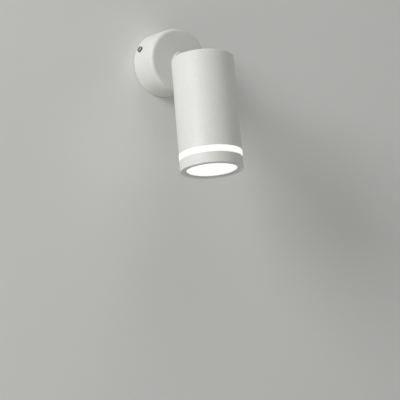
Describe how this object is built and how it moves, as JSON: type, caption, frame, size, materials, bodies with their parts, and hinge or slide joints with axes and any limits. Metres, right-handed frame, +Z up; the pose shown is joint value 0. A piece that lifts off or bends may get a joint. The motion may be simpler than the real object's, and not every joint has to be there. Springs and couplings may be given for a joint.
{
  "type": "adjustable spot wall light",
  "caption": "Adjustable cylindrical spot on a round wall canopy, with a lit acrylic ring near its mouth and a reflector lamp in front.",
  "frame": {"origin": "centre of the wall bracket's back face, on the wall plane", "axes": "+Y into the wall, so the room is towards -Y; +Z up; +X to the right as seen from the room"},
  "size_m": [0.065, 0.1227, 0.1513],
  "materials": {
    "white_paint": "fine matt powder coat on aluminium",
    "arm_paint": "fine matt powder coat on die-cast metal",
    "zinc_steel": "zinc plated, satin",
    "spring_steel": "tempered, phosphated",
    "brass": "plain turned brass",
    "terminal_plastic": "moulded, satin",
    "friction_plastic": "filled nylon, matt",
    "lead_brown": "extruded insulation",
    "lead_blue": "extruded insulation",
    "lead_green": "extruded insulation",
    "lead_sleeve": "glass-fibre sleeved leads, off-white",
    "ceramic_body": "unglazed steatite",
    "lit_acrylic": "frosted acrylic, lit from inside",
    "reflector_glass": "pressed, smooth",
    "lamp_rim_metal": "moulded, smooth",
    "lit_lens": "frosted, lit from inside",
    "nickel_pins": "nickel plated"
  },
  "bodies": {
    "wall_base": {"wall_bracket": "zinc_steel", "earth_screw": "brass", "earth_washer": "brass", "terminal_housing": "terminal_plastic", "terminal_inserts": "brass", "terminal_screws": "zinc_steel", "terminal_fixing_screw": "zinc_steel", "canopy": "white_paint", "canopy_screws": "zinc_steel", "canopy_lead_live": "lead_brown", "canopy_lead_neutral": "lead_blue", "canopy_lead_earth": "lead_green"},
    "swivel": {"swivel_arm": "arm_paint", "pan_friction_washer": "friction_plastic", "pan_stop_washer": "zinc_steel", "pan_spring_washer": "spring_steel", "pan_nut": "zinc_steel", "arm_leads": "lead_sleeve"},
    "head": {"head_housing": "white_paint", "hinge_bracket": "zinc_steel", "hinge_screws": "zinc_steel", "tilt_friction_washers": "friction_plastic", "pivot_bolt": "zinc_steel", "pivot_nut": "zinc_steel", "holder_plate": "zinc_steel", "holder_plate_screws": "zinc_steel", "lampholder": "ceramic_body", "lampholder_screws": "zinc_steel", "lampholder_contacts": "brass", "head_lead_live": "lead_brown", "head_lead_neutral": "lead_blue", "head_lead_earth": "lead_green", "earth_tag_screw": "brass", "light_ring": "lit_acrylic", "bezel": "white_paint"},
    "lamp": {"lamp_body": "reflector_glass", "lamp_rim": "lamp_rim_metal", "lamp_lens": "lit_lens", "lamp_pins": "nickel_pins"}
  },
  "joints": [
    {"name": "canopy_pan", "type": "hinge", "parent": "wall_base", "child": "swivel", "pos_m": [0, -0.033, 0], "axis": [0, -1, 0], "range_deg": [-158, 158]},
    {"name": "head_tilt", "type": "hinge", "parent": "swivel", "child": "head", "pos_m": [0, -0.06, -0.0205], "axis": [-1, 0, 0], "range_deg": [-9, 81]},
    {"name": "lamp_twist", "type": "hinge", "parent": "head", "child": "lamp", "pos_m": [0, -0.09306, -0.11418], "axis": [0, 0.1564, 0.9877], "range_deg": [-30, 0]}
  ]
}
